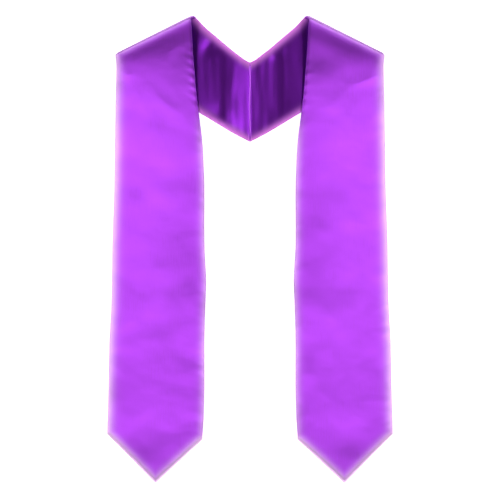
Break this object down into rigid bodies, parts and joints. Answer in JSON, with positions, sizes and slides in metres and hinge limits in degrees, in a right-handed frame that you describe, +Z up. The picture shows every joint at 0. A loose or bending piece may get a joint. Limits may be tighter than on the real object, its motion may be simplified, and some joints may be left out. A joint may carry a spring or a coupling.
{
  "type": "choir stole",
  "caption": "Plain satin choir stole laid flat and face up, folded at each shoulder, with pointed ends and a centre-back seam.",
  "frame": {"origin": "middle of the stole's outline as it lies, on the surface that it rests on", "axes": "+Z up from that surface, the faces of the two fronts up; +Y towards the neck; +X to the right as seen from above, with the neck away from the viewer"},
  "size_m": [0.3842, 0.6288, 0.0183],
  "materials": {
    "face_satin": "violet polyester satin, glossy side out",
    "lining_satin": "violet polyester satin, glossy side out",
    "seam_satin": "violet satin pressed over a seam"
  },
  "bodies": {
    "root": {"left_face": "face_satin", "left_lining": "lining_satin", "right_face": "face_satin", "right_lining": "lining_satin", "centre_back_seam": "seam_satin"}
  },
  "joints": []
}
